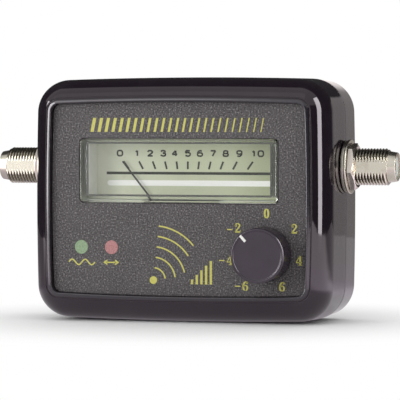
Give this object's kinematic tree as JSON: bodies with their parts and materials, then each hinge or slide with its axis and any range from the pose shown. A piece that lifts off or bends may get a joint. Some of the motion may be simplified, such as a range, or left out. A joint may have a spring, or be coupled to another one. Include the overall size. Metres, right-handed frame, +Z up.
{
  "type": "signal meter",
  "caption": "Hand-held signal meter: pillow-shaped black case, pointer dial behind a clear window, pilot lamps, gain knob and a threaded coaxial socket on each side.",
  "frame": {"origin": "centre of the object's bounding box in plan, on the surface the case stands on", "axes": "+Z up the front panel, +X to the right seen from the front, +Y from the front panel to the back"},
  "size_m": [0.1078, 0.0364, 0.0633],
  "materials": {
    "case_black": "high-gloss black moulded plastic",
    "panel_film": "fine-grained dark grey printed film",
    "clear_cover": "clear moulded plastic, polished",
    "meter_plastic": "pale grey moulded plastic",
    "dial_print": "pale grey-green printed dial",
    "needle_black": "thin black-painted pointer",
    "steel": "plain zinc-plated steel",
    "magnet": "sintered magnet and ferrite",
    "copper_wire": "enamelled copper winding",
    "brass": "plain brass",
    "nickel": "bright nickel plating",
    "insulator": "white moulded insulator",
    "knob_black": "satin black moulded plastic",
    "pointer_white": "white inlay",
    "film_green": "tinted translucent green window",
    "film_red": "tinted translucent red window",
    "lamp_green": "clear green lamp",
    "lamp_red": "clear red lamp",
    "board_green": "green solder resist",
    "part_black": "moulded black component bodies",
    "phenolic": "brown laminate",
    "sleeve_blue": "shrunk blue-black sleeve"
  },
  "bodies": {
    "case": {"front_shell": "case_black", "rear_cover": "case_black", "amplifier_chip": "part_black", "board_screw_1": "steel", "board_screw_2": "steel", "bridge_front": "brass", "bridge_rear": "brass", "buzzer": "part_black", "capacitor_left": "sleeve_blue", "capacitor_right": "sleeve_blue", "case_screw_1": "steel", "case_screw_2": "steel", "case_screw_3": "steel", "case_screw_4": "steel", "circuit_board": "board_green", "core_magnet": "magnet", "dial_plate": "dial_print", "flat_washer_left": "nickel", "flat_washer_right": "nickel", "hairspring_front": "brass", "hairspring_rear": "brass", "iron_ring": "steel", "jewel_screw_front": "brass", "jewel_screw_rear": "brass", "label_panel": "panel_film", "lamp_green": "lamp_green", "lamp_red": "lamp_red", "lamp_window_green": "film_green", "lamp_window_red": "film_red", "lock_washer_left": "nickel", "lock_washer_right": "nickel", "meter_cover": "clear_cover", "meter_housing": "meter_plastic", "meter_pin_left": "brass", "meter_pin_right": "brass", "pot_bush": "steel", "pot_can": "steel", "pot_nut": "nickel", "pot_track": "phenolic", "pot_washer": "nickel", "radio_choke": "magnet", "socket_barrel_left": "nickel", "socket_barrel_right": "nickel", "socket_contact_left": "brass", "socket_contact_right": "brass", "socket_insulator_left": "insulator", "socket_insulator_right": "insulator", "socket_nut_left": "nickel", "socket_nut_right": "nickel", "transistor": "part_black"},
    "needle": {"needle": "needle_black", "moving_coil": "copper_wire", "staff_front": "steel", "staff_rear": "steel"},
    "knob": {"pot_shaft": "brass", "pot_wiper": "brass", "knob": "knob_black", "knob_pointer": "pointer_white"}
  },
  "joints": [
    {"name": "needle_swing", "type": "hinge", "parent": "case", "child": "needle", "pos_m": [0, 0.0024, 0.01998], "axis": [0, 1, 0], "range_deg": [0, 78], "stiffness_Nm_per_rad": 0.00002, "springref_deg": -4.58},
    {"name": "knob_turn", "type": "hinge", "parent": "case", "child": "knob", "pos_m": [0.02315, -0.0136, 0.01798], "axis": [0, 1, 0], "range_deg": [-108.6, 191.4]}
  ]
}
